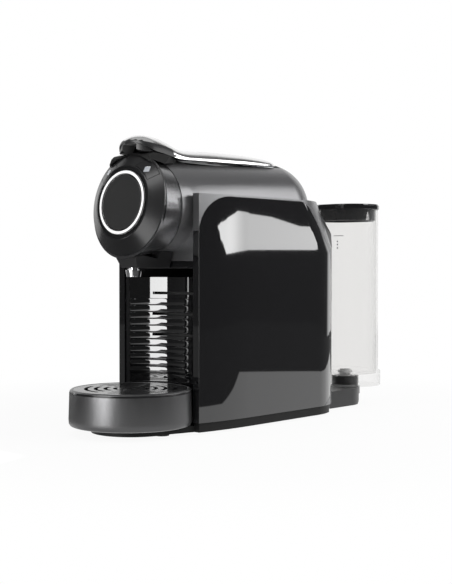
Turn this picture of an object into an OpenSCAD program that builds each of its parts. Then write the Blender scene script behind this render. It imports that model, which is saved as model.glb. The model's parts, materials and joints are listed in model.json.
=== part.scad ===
// Pod coffee machine with a knee lever on top, a round drip tray in front and a water tank behind.
// Millimetres. The front faces -Y, the right side +X, up is +Z. The origin is on the floor, midway.

/* [Overall] */
// Full width over the gloss side panels
body_w = 115; // [109:1:121]
// Height of the side panels' top edge above the floor
shoulder_z = 209.4; // [204:0.2:214]
// Front edge of the two side walls, measured from the origin
front_y = -115.4; // [-118:0.2:-112]
// Height of the panels' lower edge
skirt_z = 9.7; // [9:0.1:11]
// General wall of the moulded covers
wall = 2.4; // [2:0.1:2.8]
// Gap left between neighbouring covers
gap = 0.3; // [0.2:0.05:0.4]

/* [Head] */
// Radius of the head at the seam behind the front band
head_r = 42; // [41:0.2:43]
// Height of the head's axis at that seam
head_z = 200; // [199:0.2:201]
// Radius of the front bezel's rear edge
bezel_r = 45.6; // [45:0.1:46.4]
// Lean of the front face, top towards the back
face_tilt = 8; // [6:0.5:9]
// Outer radius of the bright ring
ring_r = 28.5; // [27.5:0.1:29]
// Width of the bright ring
ring_w = 3.6; // [3:0.1:4]

/* [Lever] */
// Width of the lever
lever_w = 44; // [42:0.5:45]
// Swing of the lever from closed to open, degrees
lever_swing = 75; // [65:1:75]
// Radius of the lever's hinge barrel
barrel_r = 6; // [5.4:0.1:6.2]
// Radius of the hinge pin
pin_r = 2.5; // [2:0.1:2.8]
// Crank radius that drives the brew cage
crank_r = 20; // [19:0.25:20.5]

/* [Tray and bin] */
// Radius of the drip tray's top rim
tray_r = 54; // [52:0.5:55]
// Height of the tray's rim above the floor
tray_top = 39.8; // [38:0.2:42]
// Distance of the tray's centre in front of the origin
tray_y = 148.6; // [147:0.2:150]
// Radius of the ribbed hollow behind the tray
hollow_r = 60; // [59:0.5:61.5]
// Height step of the ribs
rib_pitch = 6.4; // [6:0.1:6.8]
// Depth of the ribs
rib_depth = 1.7; // [1:0.1:2]
// Height of the slots for a cup rest
slot_h = 2.6; // [2:0.1:3]

/* [Water tank] */
// Radius of the tank's round ends
tank_r = 29.8; // [28.5:0.1:30.5]
// Distance of the centres of the round ends from the middle plane
tank_off = 7; // [6:0.5:8]
// Distance of the tank's centre behind the origin
tank_y = 171; // [170.5:0.1:172]
// Height of the tank's open rim
tank_top = 209; // [200:0.5:212]
// Wall of the clear tank
tank_wall = 2; // [1.6:0.1:2.4]

/* [Fits] */
// Radial clearance of shafts in their bores
run_fit = 0.05; // [0.03:0.01:0.08]
// Side clearance of the crank pins in the drawbar slots
slot_play = 0.5; // [0.45:0.05:0.7]

/* [Hidden] */
$fn = 96;
eps = 0.01;
big = 400;

half_w = body_w / 2;
shell_grey = [0.27, 0.27, 0.28];
gloss_black = [0.03, 0.03, 0.035];
satin_black = [0.09, 0.09, 0.095];
chrome = [0.82, 0.82, 0.84];
steel = [0.62, 0.63, 0.65];

// Body block: plan with bulging sides and a round back
bulge_y = -55;
bulge_in = 6;
bulge_r = (pow(bulge_y - front_y, 2) + pow(bulge_in, 2)) / (2 * bulge_in);
back_y = 50;
stern_z = 164;
stern_tilt = 29.5;
panel_t = 2.2;
block_top = shoulder_z + 1.9;

// Upper body: a slightly rising cone that ends in a round dome
seam_y = -126;
dome_y = 32.5;
dome_z = head_z + 4.7;
dome_r = head_r + 2.7;
rise = atan2(dome_z - head_z, dome_y - seam_y);

// Recess between the side walls
crease_y = front_y + 6.4;
cheek_x = 44.2;
deck_z = 152;
under_z = 145.5;

// Lever hinge and brew mechanism
hinge_y = 27;
hinge_z = dome_z + 37.5;
crank_half = lever_swing / 2;
cage_travel = 2 * crank_r * sin(crank_half);
brew_z = 190;
brew_y = -50;
bar_x = 16;
bar_t = 3;
bar_z = 214;

// Bin and tray
nose_top = 7.2;
bin_back_y = 12;
bin_top = 137.4;
bin_floor_z = 9.6;
column_z = tray_top + 3;

// Cord gland on the body's round back
gland_r = 5.5;
gland_bore = 3.4;
gland_z = 26;
gland_turn = 140;

// Tank
channel_z = 15.5;
tank_floor_z = 19.3;
ledge_z = 35.5;
foot_r = tank_r + 2.6;
lid_r = tank_r + 1.2;

//---------------------------------------------------------------- shared forms
// Lying along Y, from y0 to y1, in the XZ section given as children drawn in X and Z
module along_y(y0, y1) {
    translate([0, y1, 0]) rotate([90, 0, 0]) linear_extrude(y1 - y0) children();
}

// Side view given as children drawn in Y and Z, centred across X
module across_x(w) {
    rotate([90, 0, 90]) translate([0, 0, -w / 2]) linear_extrude(w) children();
}

// Box between two corners
module box(a, b) {
    translate(a) cube(b - a);
}

// Shaft along X
module shaft_x(r, x0, x1, y, z) {
    translate([x0, y, z]) rotate([0, 90, 0]) cylinder(r = r, h = x1 - x0);
}

// Plan of the body block, set in by g all round
module block_plan(g) {
    intersection() {
        translate([half_w - bulge_r, bulge_y]) circle(r = bulge_r - g, $fn = 360);
        translate([bulge_r - half_w, bulge_y]) circle(r = bulge_r - g, $fn = 360);
        translate([-half_w, front_y + g]) square([body_w, bulge_y - front_y - g + eps]);
    }
    translate([g - half_w, bulge_y]) square([body_w - 2 * g, back_y - bulge_y]);
    translate([0, back_y]) circle(r = half_w - g);
}

// Everything in front of the raked stern, set in by g
module stern_space(g) {
    translate([0, back_y - 4, stern_z]) rotate([stern_tilt, 0, 0]) {
        cylinder(r = half_w - g, h = big, center = true);
        translate([g - half_w, -big, -big]) cube([body_w - 2 * g, big, 2 * big]);
    }
}

// The body block between two heights, set in by g
module block(g, z0, z1) {
    intersection() {
        translate([0, 0, z0]) linear_extrude(z1 - z0) block_plan(g);
        stern_space(g);
    }
}

// The upper body, set in by g, from the seam back to its dome
module bullet(g) {
    intersection() {
        translate([0, dome_y, dome_z]) rotate([90 + rise, 0, 0]) {
            cylinder(r1 = dome_r - g, r2 = head_r - g - 0.15, h = 168);
            intersection() {
                sphere(r = dome_r - g);
                translate([-60, -60, -60]) cube([120, 120, 60]);
            }
        }
        box([-80, seam_y, 100], [80, 120, 300]);
    }
}

// Frame of the tilted front face: local +Z points out of the face, local +Y up
module on_face(h) {
    translate([0, -151, 202]) rotate([90 - face_tilt, 0, 0]) translate([0, 0, h]) children();
}

// Outline with two round ends, as the tank's plan
module stadium(r) {
    translate([-tank_off, 0]) circle(r = r);
    translate([tank_off, 0]) circle(r = r);
    translate([-tank_off, -r]) square([2 * tank_off, 2 * r]);
}

module tank_form(r, z0, z1) {
    translate([0, tank_y, z0]) linear_extrude(z1 - z0) stadium(r);
}

//---------------------------------------------------------------- base
foot_places = [[-30, -140], [30, -140], [-40, 70], [40, 70]];
screw_x = half_w - 7.5;
screw_places = [[-screw_x, -60], [screw_x, -60], [-screw_x, 30], [screw_x, 30]];
boss_r = 3.1;
boss_top = 20;
module base_outline(g) {
    intersection() {
        block_plan(g);
        translate([-half_w, front_y - 10]) square([body_w, 200]);
    }
    translate([0, -tray_y + 3.6]) circle(r = 39 - g);
    polygon([[-33 + g, -165], [33 - g, -165], [46 - g, front_y + g], [-46 + g, front_y + g]]);
}

module base_plate() {
    color(satin_black) difference() {
        union() {
            translate([0, 0, 1.5]) linear_extrude(nose_top - 1.5) base_outline(1.2);
            translate([0, 0, nose_top - eps]) linear_extrude(skirt_z - gap - nose_top)
                block_plan(1.2);
        }
        // bay where the bin and the tray slide in
        box([-cheek_x, -140, nose_top], [cheek_x, bin_back_y + 2, 40]);
        for (p = foot_places) translate([p[0], p[1], 0]) cylinder(r = 7.2, h = 2.4);
        for (p = screw_places) translate([p[0], p[1], 0]) {
            cylinder(r = 1.7, h = 30);
            cylinder(r = 3.4, h = 4);
        }
    }
}

module rubber_feet() {
    color(gloss_black) for (p = foot_places) translate([p[0], p[1], 0]) {
        cylinder(r1 = 6.4, r2 = 7, h = 1.5);
        translate([0, 0, 1.5 - eps]) cylinder(r = 7, h = 0.9);
    }
}

module base_screws() {
    color(steel) for (p = screw_places) translate([p[0], p[1], 2]) difference() {
        union() {
            translate([0, 0, 0]) cylinder(r = 3, h = 2);
            cylinder(r = 1.5, h = 16);
        }
        cylinder(r = 1.4, h = 0.8, $fn = 6);
    }
}

//---------------------------------------------------------------- covers
function arc(cy, cz, r, a0, a1, n = 8) =
    [for (i = [0:n]) let (a = a0 + (a1 - a0) * i / n) [cy + r * cos(a), cz + r * sin(a)]];

// Outline of a side panel in the side view, grown by g
panel_back = 79;
front_round = 34;
top_round = 25;
back_round = 60;
fall = 47;
fall_y = 18;
fall_n = 90 - fall;
fall_end_y = panel_back - back_round + back_round * cos(fall_n);
fall_len = (fall_end_y - fall_y - top_round * cos(fall_n)) / cos(fall);
fall_end_z = shoulder_z - top_round + top_round * sin(fall_n) - fall_len * sin(fall);
back_arc_z = fall_end_z - back_round * sin(fall_n);
module panel_outline(g) {
    polygon(concat(
        [[front_y - 6, skirt_z - g]],
        arc(front_y + front_round, shoulder_z - front_round, front_round + g, 180, 90),
        arc(fall_y, shoulder_z - top_round, top_round + g, 90, fall_n),
        arc(panel_back - back_round, back_arc_z, back_round + g, fall_n, 0),
        [[panel_back + g, skirt_z + 12], [panel_back + g - 20, skirt_z - g]]
    ));
}

// Side panel: a skin that wraps round the front edge of its wall
module side_panel(s) {
    color(gloss_black) intersection() {
        difference() {
            block(0, skirt_z, shoulder_z + 1);
            block(panel_t, 0, shoulder_z + 2);
        }
        across_x(body_w) panel_outline(0);
        box([s > 0 ? cheek_x : -70, -130, 0], [s > 0 ? 70 : -cheek_x, 110, 230]);
    }
}
module side_panel_right() { side_panel(1); }
module side_panel_left() { side_panel(-1); }

// Space in front of the crease, between the two side walls
module front_bay(x, y) {
    box([-x, -200, -10], [x, y, 260]);
}

module body_cowl() {
    color(shell_grey) difference() {
        union() {
            bullet(0);
            difference() {
                block(0, skirt_z, block_top);
                front_bay(cheek_x, crease_y);
            }
        }
        difference() {
            union() {
                bullet(wall);
                difference() {
                    block(panel_t + gap + wall, 0, block_top - wall);
                    front_bay(cheek_x + wall, crease_y + wall);
                }
            }
            for (p = screw_places) translate([p[0], p[1], 0]) cylinder(r = boss_r, h = boss_top);
        }
        for (s = [-1, 1]) intersection() {
            difference() {
                block(-1, 0, shoulder_z + 1);
                block(panel_t + gap, -1, shoulder_z + 2);
            }
            across_x(body_w + 4) panel_outline(gap);
            box([s > 0 ? 40 : -70, -130, 0], [s > 0 ? 70 : -40, 110, 230]);
        }
        // recess for the cup, the tray and the bin
        box([-cheek_x - wall - gap, -200, 0], [cheek_x + wall + gap, crease_y + wall, deck_z]);
        box([-cheek_x - wall - gap, -200, 0], [cheek_x + wall + gap, -60, deck_z]);
        // slot under the lever for the capsule, and the well of the hinge
        box([-19.5, -96, 225], [19.5, hinge_y - 6, 270]);
        hinge_pocket();
        // way of the suction hose, and the cord gland's hole
        translate([0, 120, channel_z]) rotate([90, 0, 0]) cylinder(r = 5, h = 60);
        gland_axis(40) cylinder(r = gland_r, h = 40);
        // screw bores
        for (p = screw_places) translate([p[0], p[1], 0]) cylinder(r = 1.5, h = boss_top - 1);
        // floor lies open
        box([-80, -130, -1], [80, 130, skirt_z]);
    }
}

// Neck between the body's sloped back and the tank
module rear_cover() {
    color(gloss_black) difference() {
        intersection() {
            translate([0, 0, tank_floor_z + gap]) linear_extrude(184) neck_plan(0);
            translate([0, 94, 197]) rotate([-32, 0, 0]) box([-60, -80, -300], [60, 80, 0]);
        }
        intersection() {
            translate([0, 0, tank_floor_z - 5]) linear_extrude(186) neck_plan(wall);
            translate([0, 94, 197 - wall]) rotate([-32, 0, 0]) box([-60, -80, -300], [60, 80, 0]);
        }
        stern_block(gap);
        tank_form(foot_r + 1, 0, 400);
    }
}
module neck_plan(g) {
    polygon([[-36 + g, 70], [36 - g, 70], [36 - g, 118], [30 - g, 136 - g], [-30 + g, 136 - g],
        [-36 + g, 118]]);
}
module stern_block(g) {
    difference() {
        block(-g, -1, block_top + g);
        box([-80, -200, -2], [80, 40, 300]);
    }
    translate([0, dome_y, dome_z]) sphere(r = dome_r + g);
}

//---------------------------------------------------------------- chassis
module chassis() {
    color(gloss_black) difference() {
        union() {
            // liner walls of the recess
            for (s = [-1, 1]) box([s > 0 ? cheek_x : -cheek_x - wall, front_y + panel_t + gap, skirt_z],
                [s > 0 ? cheek_x + wall : -cheek_x, bin_back_y + 2 + wall, deck_z]);
            // bulkhead behind the bin
            box([6.5 - half_w, bin_back_y + 2, skirt_z],
                [half_w - 6.5, bin_back_y + 2 + wall, deck_z]);
            // brew deck
            intersection() {
                block(panel_t + 2 * gap + wall, deck_z, deck_z + wall);
                box([-80, crease_y + wall + gap, 0], [80, 86, 200]);
            }
            // floor of the machine bay
            intersection() {
                block(panel_t + 2 * gap + wall, skirt_z - gap, skirt_z + 2);
                box([-80, bin_back_y + 2, 0], [80, 110, 20]);
            }
        }
        // chute for the used capsules
        box([-21, -86, 100], [21, -42, 200]);
        // hose ways
        translate([-30, 60, deck_z - 1]) cylinder(r = 5, h = 5);
        translate([22, 43, deck_z - 1]) cylinder(r = 6, h = 5);
        for (p = screw_places) translate([p[0], p[1], 0])
            cylinder(r = boss_r + gap, h = boss_top + gap);
    }
}

// Dark block under the head that closes the recess at the top
module head_underplate() {
    color(gloss_black) difference() {
        box([-cheek_x + gap, crease_y, under_z], [cheek_x - gap, -38, deck_z - gap]);
        box([-21, -86, 100], [21, -42, 200]);
    }
}

//---------------------------------------------------------------- head
// Band between the upright seam and the tilted bezel
module head_band() {
    color(shell_grey) difference() {
        translate([0, seam_y - 0.4, head_z]) rotate([90, 0, 0])
            cylinder(r1 = head_r, r2 = bezel_r + 1.2, h = 36);
        translate([0, seam_y + 1, head_z]) rotate([90, 0, 0])
            cylinder(r1 = head_r - wall, r2 = bezel_r - wall, h = 40);
        on_face(-3.2) cylinder(r = bezel_r + gap, h = 20);
        on_face(-0.2) translate([-80, -80, 0]) cube([160, 160, 60]);
    }
}
// Space that the band takes, with the gap round it
module head_space() {
    translate([0, seam_y - 0.4, head_z]) rotate([90, 0, 0])
        cylinder(r1 = head_r + gap, r2 = bezel_r + 1.2 + gap, h = 36);
    translate([0, seam_y + 1, head_z]) rotate([90, 0, 0]) cylinder(r = head_r + gap, h = 3);
}

face_h = 8;
rim_r = ring_r + 4.5;
module front_bezel() {
    color(satin_black) difference() {
        on_face(0) rotate_extrude(convexity = 6) polygon([
            [bezel_r - 0.9, -2.9], [bezel_r - 0.9, -1.6], [bezel_r, -0.6], [bezel_r, 0.5],
            [rim_r + 0.8, face_h - 0.5], [rim_r, face_h], [rim_r - 0.9, face_h - 0.4],
            [rim_r - 1.5, face_h - 1.3],
            [ring_r + 0.4, face_h - 1.3], [ring_r + 0.3, face_h - 3], [ring_r - ring_w, face_h - 3],
            [ring_r - ring_w, face_h - 5], [rim_r - 3, face_h - 5], [bezel_r - wall, -1.6],
            [bezel_r - wall, -2.9]
        ]);
        for (s = [-1, 1]) button_space(s, gap);
    }
}

module bezel_ring() {
    color(chrome) on_face(face_h - 3 + 0.1) rotate_extrude() {
        translate([ring_r - ring_w, 0]) square([ring_w, 2.6]);
        translate([ring_r - ring_w / 2, 2.6]) circle(r = ring_w / 2 - 0.1);
    }
}

module front_disc() {
    color(satin_black) on_face(face_h - 5) {
        cylinder(r = ring_r - ring_w - 0.3, h = 5.6);
        translate([0, 0, -2]) cylinder(r = 12, h = 2.5);
    }
}

// Keystone buttons either side of twelve o'clock, with a slanted inner and a radial outer edge
button_end = 56;
button_mid = 40.6;
light_at = (rim_r + bezel_r) / 2 - 1.6;
light_side = 4.8;
light_t = 1.5;
function polar(r, a) = [r * cos(a), r * sin(a)];
module button_plan(g) {
    end = 90 - button_end - g * 1.5;
    polygon([polar(25, 85 + 2.3 * g), polar(46, 60.5 + 1.3 * g), polar(56, 50), polar(56, end),
        polar(25, end - g)]);
}
// Section of the bezel's sloped front, lowered by d
module slope(d) {
    on_face(0) rotate_extrude() polygon([[0, -12], [60, -12], [60, -1.7 - d], [bezel_r, -1.7 - d],
        [bezel_r, 0.5 - d], [rim_r + 0.8, face_h - 0.5 - d], [0, face_h - 0.5 - d]]);
}
module button_space(s, g) {
    on_face(g > 0 ? -4 : -1.7) mirror([s > 0 ? 0 : 1, 0, 0]) linear_extrude(20) difference() {
        intersection() {
            button_plan(g);
            circle(r = bezel_r - 1.4 + g);
        }
        circle(r = rim_r + 1.2 - g);
    }
}
module button_at(s, r) {
    rotate([0, 0, -s * button_mid]) translate([0, r, 0]) children();
}
module light_prism(s, g) {
    on_face(-20) button_at(s, light_at) rotate([0, 0, 45])
        translate([-light_side / 2 - g, -light_side / 2 - g, 0])
            cube([light_side + 2 * g, light_side + 2 * g, 60]);
}
module button(s) {
    color(satin_black) difference() {
        union() {
            intersection() {
                button_space(s, 0);
                difference() {
                    slope(0);
                    slope(3.4);
                }
            }
            intersection() {
                on_face(-3.4) button_at(s, light_at - 1.6) cylinder(r = 1.5, h = 12);
                slope(2);
            }
        }
        difference() {
            light_prism(s, 0.1);
            slope(light_t);
        }
    }
}
module button_right() { button(1); }
module button_left() { button(-1); }
module light(s) {
    color([0.9, 0.95, 1]) intersection() {
        light_prism(s, 0);
        difference() {
            slope(0.1);
            slope(light_t);
        }
    }
}
module button_light_right() { light(1); }
module button_light_left() { light(-1); }

// Board behind the bezel with one tact switch under each button
module switch_board() {
    color([0.1, 0.35, 0.2]) {
        on_face(-7) difference() {
            cylinder(r = head_r - wall - 0.7, h = 1.6);
            translate([0, 0, -1]) cylinder(r = 20, h = 4);
            translate([-60, -60, -1]) cube([120, 62, 4]);
        }
        for (s = [-1, 1]) on_face(-5.4) button_at(s, light_at - 1.7)
            translate([-2.5, -2.5, 0]) cube([5, 5, 0.8]);
    }
}

//---------------------------------------------------------------- outlet
module nozzle_housing() {
    color(satin_black) difference() {
        union() {
            nozzle_form(0);
        }
        nozzle_form(wall);
        box([-10, -138, 140], [10, -122, 150]);
        translate([0, -145, 140]) cylinder(r = 4.2, h = 20);
    }
}
module nozzle_form(g) {
    difference() {
        intersection() {
            along_y(-158, crease_y - 1.4) polygon([[-10 + g, 146 + g], [10 - g, 146 + g], [16 - g, 166],
                [-16 + g, 166]]);
            across_x(80) polygon([[-150.5 + g, 146 + g], [-158 + g, 163], [-158 + g, 170],
                [crease_y - 1.4 - g, 170], [crease_y - 1.4 - g, 146 + g]]);
        }
        on_face(-30) cylinder(r = bezel_r + gap, h = 30.5);
        on_face(0.5) cylinder(r1 = bezel_r + gap, r2 = rim_r + gap, h = face_h + 1);
        head_space();
        bullet(-gap);
    }
}

module spout() {
    color(chrome) difference() {
        union() {
            translate([0, -145, 138]) cylinder(r1 = 6.2, r2 = 7.2, h = 6);
            translate([0, -145, 144 - eps]) cylinder(r = 4, h = 6);
            for (s = [-1, 1]) translate([s * 5.8, -145, 144 - eps]) cylinder(r = 1, h = 2);
        }
        translate([0, -145, 130]) cylinder(r = 2.6, h = 30);
        translate([0, -145, 137.9]) cylinder(r1 = 5.2, r2 = 2.6, h = 4);
    }
}

//---------------------------------------------------------------- lever
lever_h = lever_w / 2;
hood_z = head_z + bezel_r + 1;
nose_y = -138;
nose_len = 13.5;
tail_y = 16;
// Stations along the lever: place, crown height, edge height
stations = [[-151.4, 257.6, 256.4], [-151, 258.6, 256], [-149.5, 260, 254.8], [-147, 261.4, 252.6],
    [-143, 262.8, 249.8], [-138, 263.3, 247.8], [-131, 263, 246.8], [-124, 262.2, 245.6],
    [-116, 259.8, 244.2], [-110, 257.2, 243.4], [-104, 255, 243.2], [-97, 253.5, 243.3],
    [-88, 253.3, 243.6], [-75, 254, 243.8], [-60, 254.7, 244], [-40, 255, 244.4], [-18, 255.2, 245],
    [2, 254.8, 245.4], [16, 253.8, 245.8], [24, 252.8, 246], [30, 251.7, 246.1], [34.5, 250.7, 246.2],
    [36.8, 249.9, 246.3], [37.8, 248.6, 246.6]];
function half_at(y) = y < nose_y ? lever_h * sqrt(max(0.004, 1 - pow((nose_y - y) / nose_len, 2)))
    : y > tail_y ? sqrt(max(2, lever_h * lever_h - pow(y - tail_y, 2))) : lever_h;

// The raised nose follows the bezel that it covers
function lift(y) = (head_z + bezel_r - 245.6) * min(1, max(0, (-90 - y) / 40));

// One arched rib of a loft: n points over the crown, set in by t
function arch(st, t, n) = [for (i = [0:n]) let (a = 180 * i / n, w = max(0.3, half_at(st[0]) - t),
    h = max(0.2, st[1] - st[2] - t)) [w * cos(a), st[0], st[2] + lift(st[0]) + h * sin(a)]];
// Inner side of the lining: flat under the raised nose, which it fills, and arched behind it
belly = [[-151, 251.5], [-149.5, 249], [-147, 247.6], [-143, 247.5], [-138, 247.4]];
function inner(st, t, fill, n) = !fill || st[0] > -136 ? arch(st, t, n)
    : [for (i = [0:n]) [(half_at(st[0]) - 0.5) * cos(180 * i / n), st[0],
        lookup(st[0], belly) + lift(st[0])]];
function loop(st, t0, t1, fill, n) =
    concat(arch(st, t0, n), [for (i = [n:-1:0]) inner(st, t1, fill, n)[i]]);

// Arched shell between two insets that follows the stations from a to b
module arched(t0, t1, a, b, fill, n = 20) {
    m = 2 * (n + 1);
    pts = [for (k = [a:b]) for (p = loop(stations[k], t0, t1, fill, n)) p];
    rows = b - a;
    polyhedron(pts, concat(
        [for (k = [0:rows - 1]) for (i = [0:m - 1])
            [k * m + i, (k + 1) * m + i, (k + 1) * m + (i + 1) % m, k * m + (i + 1) % m]],
        [for (i = [0:n - 1]) [i, i + 1, m - 2 - i, m - 1 - i]],
        [for (i = [0:n - 1]) [rows * m + i + 1, rows * m + i, rows * m + m - 1 - i,
            rows * m + m - 2 - i]]
    ));
}

module lever_plate() {
    color(chrome) arched(0, 1.6, 0, len(stations) - 1, false);
}

module lever_shell() {
    color(gloss_black) difference() {
        arched(1.85, 3.6, 1, len(stations) - 4, true, 16);
        shaft_x(barrel_r + gap, -20, 20, hinge_y, hinge_z);
        // recess for the fingers, open to the front and below
        box([-9, -153, 240], [9, -119, hood_z + 7.9]);
    }
}

// Space swept by the round rear end of the lever
module hinge_pocket() {
    ends = [for (x = [-19:2:19])
        [norm([tail_y + sqrt(lever_h * lever_h - x * x) - hinge_y, 7.6]) + 0.8, x]];
    translate([0, hinge_y, hinge_z]) rotate([0, 90, 0]) rotate_extrude()
        polygon(concat([[0, -19.6], [ends[0][0], -19.6]], ends, [[ends[0][0], 19.6], [0, 19.6]]));
}

// Crank pin in the lever's closed position
crank_y = hinge_y + crank_r * sin(crank_half);
crank_z = hinge_z - crank_r * cos(crank_half);
ear_in = 5.4;
ear_t = 3.2;
module lever_arm() {
    color(steel) difference() {
        union() {
            shaft_x(barrel_r, -ear_in + gap, ear_in - gap, hinge_y, hinge_z);
            for (s = [-1, 1]) {
                x0 = ear_in + ear_t + gap;
                shaft_x(barrel_r, min(s * x0, s * 13.4), max(s * x0, s * 13.4), hinge_y, hinge_z);
                translate([s * (x0 + 13.4) / 2, hinge_y, hinge_z]) rotate([crank_half - 180, 0, 0])
                    translate([-(13.4 - x0) / 2, -4, 0]) cube([13.4 - x0, 8, crank_r]);
                shaft_x(4, min(s * x0, s * 13.4), max(s * x0, s * 13.4), crank_y, crank_z);
                shaft_x(pin_r, min(s * 13, s * 19), max(s * 13, s * 19), crank_y, crank_z);
                // side bars to the spine
                box([s > 0 ? x0 : -13.4, 2, 245], [s > 0 ? 13.4 : -x0, hinge_y, 247]);
            }
            box([-4.8, 2, 245], [4.8, hinge_y, 247]);
            box([-13.4, -80, 245], [13.4, 14, 247]);
            box([-7, -80, 245], [7, 8, 249.4]);
        }
        shaft_x(pin_r + run_fit, -30, 30, hinge_y, hinge_z);
        for (y = [-66, -46, -26, -6]) translate([0, y, 240]) cylinder(r = 4.5, h = 20);
    }
}

module lever_pin() {
    color(steel) shaft_x(pin_r, -13.8, 13.8, hinge_y, hinge_z);
}

// Fixed hood on top of the head, below the lever's raised nose
hood_w = 0.68 * bezel_r;
hood_plan = [[1, -152], [0.968, -146], [0.935, -140], [0.839, -130], [0.71, -120], [0.516, -109],
    [0.323, -100]];
module head_hood() {
    color(gloss_black) difference() {
        intersection() {
            across_x(70) polygon([[-149.6, hood_z - 8.6], [-149.6, hood_z - 4], [-147.5, hood_z - 1.6],
                [-142, hood_z], [-134, hood_z - 0.2], [-124, hood_z - 1.6], [-116, hood_z - 3],
                [-108, hood_z - 3.7], [-98.5, hood_z - 3.8], [-98.5, head_z + 25],
                [-140, head_z + 25]]);
            along_y(-152, -90) polygon([[-33, head_z + 26], [33, head_z + 26],
                [lever_h - 0.4, hood_z + 0.4], [0.4 - lever_h, hood_z + 0.4]]);
            linear_extrude(280) polygon(concat([for (p = hood_plan) [hood_w * p[0], p[1]]],
                [for (i = [len(hood_plan) - 1:-1:0]) [-hood_w * hood_plan[i][0], hood_plan[i][1]]]));
        }
        bullet(-gap);
        head_space();
        on_face(-30) cylinder(r = bezel_r + gap, h = 30.5);
        on_face(0.5) cylinder(r1 = bezel_r + gap, r2 = rim_r + 0.8 + gap, h = face_h - 1);
        on_face(face_h - 1) cylinder(r = rim_r + 0.8 + gap, h = 30);
    }
}

//---------------------------------------------------------------- brewing mechanism
frame_x = 28;
module brew_frame() {
    color([0.2, 0.2, 0.22]) difference() {
        union() {
            for (s = [-1, 1]) {
                box([s > 0 ? frame_x : -frame_x - 3, -104, deck_z + wall],
                    [s > 0 ? frame_x + 3 : -frame_x, 30, 220]);
                // feet on the deck
                box([s > 0 ? frame_x : -38, -100, deck_z + wall],
                    [s > 0 ? 38 : -frame_x, 26, deck_z + wall + 3]);
                // ears of the hinge
                box([s > 0 ? ear_in : -ear_in - ear_t, hinge_y - 5, 196],
                    [s > 0 ? ear_in + ear_t : -ear_in, hinge_y + 5, hinge_z]);
                shaft_x(5, s > 0 ? ear_in : -ear_in - ear_t, s > 0 ? ear_in + ear_t : -ear_in,
                    hinge_y, hinge_z);
            }
            // cross walls
            box([-frame_x, 22, deck_z + wall], [frame_x, 30, 199]);
            box([-frame_x, -104, deck_z + wall], [frame_x, -101.6, 160]);
        }
        shaft_x(pin_r, -30, 30, hinge_y, hinge_z);
        translate([0, 40, brew_z]) rotate([90, 0, 0]) cylinder(r = 6, h = 30);
    }
}

// Fixed plate that feeds the hot water
module injection_plate() {
    color(steel) difference() {
        union() {
            translate([0, brew_y + 6, brew_z]) rotate([90, 0, 0]) cylinder(r = 22, h = 6);
            box([-frame_x, brew_y, brew_z - 12], [frame_x, brew_y + 6, brew_z + 12]);
            translate([0, brew_y + 20, brew_z]) rotate([90, 0, 0]) cylinder(r = 4.6, h = 16);
        }
        translate([0, brew_y + 21, brew_z]) rotate([90, 0, 0]) cylinder(r = 2, h = 24);
    }
}

module chamber_seal() {
    color([0.75, 0.3, 0.15]) translate([0, brew_y - 0.3, brew_z]) rotate([90, 0, 0]) difference() {
        cylinder(r = 20.5, h = 2);
        translate([0, 0, -1]) cylinder(r = 17.5, h = 4);
    }
}

// Sliding cage that holds the capsule, with the two drawbars to the cranks
cage_len = 30;
cage_face = brew_y - 2.6;
module brew_cage() {
    color([0.25, 0.25, 0.27]) difference() {
        union() {
            translate([0, cage_face, brew_z]) rotate([90, 0, 0]) cylinder(r = 21.5, h = cage_len);
            box([-bar_x - bar_t / 2, cage_face - cage_len, brew_z],
                [bar_x + bar_t / 2, cage_face - cage_len + 5, bar_z + 8]);
            for (s = [-1, 1]) {
                x0 = s * bar_x - bar_t / 2;
                box([x0, cage_face - cage_len, bar_z], [x0 + bar_t, crank_y - 6, bar_z + 8]);
                box([x0, crank_y - 7.5, bar_z], [x0 + bar_t, crank_y + 7.5, crank_z + 6.5]);
            }
            for (s = [-1, 1]) box([s > 0 ? 18 : -frame_x + 0.4, cage_face - cage_len, brew_z - 4],
                [s > 0 ? frame_x - 0.4 : -18, cage_face - 4, brew_z + 4]);
        }
        translate([0, cage_face + 1, brew_z]) rotate([90, 0, 0]) cylinder(r1 = 18.5, r2 = 14, h = 25);
        // outlet
        translate([0, cage_face - cage_len + 4, brew_z - 30]) cylinder(r = 2.5, h = 32);
        for (s = [-1, 1]) {
            x0 = s * bar_x - bar_t / 2 - 1;
            z0 = hinge_z - crank_r - pin_r - slot_play;
            box([x0, crank_y - pin_r - slot_play, z0],
                [x0 + bar_t + 2, crank_y + pin_r + slot_play, crank_z + pin_r + slot_play]);
        }
    }
}

//---------------------------------------------------------------- bin and tray
// Profile of the ribbed wall in radius and height
slot_zs = [122.7, 103.4, 84.2];
bin_x = cheek_x - 0.7;
bin_wall = 2;
bin_front_y = -tray_y + hollow_r + 2.9;
module column_profile() {
    ribs = 11;
    intersection() {
        union() {
            translate([hollow_r, column_z]) square([9, 200]);
            translate([hollow_r + 1, 0]) square([8, column_z + 1]);
            for (i = [0:ribs - 1]) translate([hollow_r + 2.3, 50.6 + i * rib_pitch])
                circle(r = 2.3 + rib_depth, $fn = 48);
            translate([hollow_r - rib_depth, 124.4]) square([8, 5.6]);
            translate([hollow_r - rib_depth, 131]) square([8, 100]);
        }
        square([hollow_r + 2.6, bin_top]);
    }
}

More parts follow.
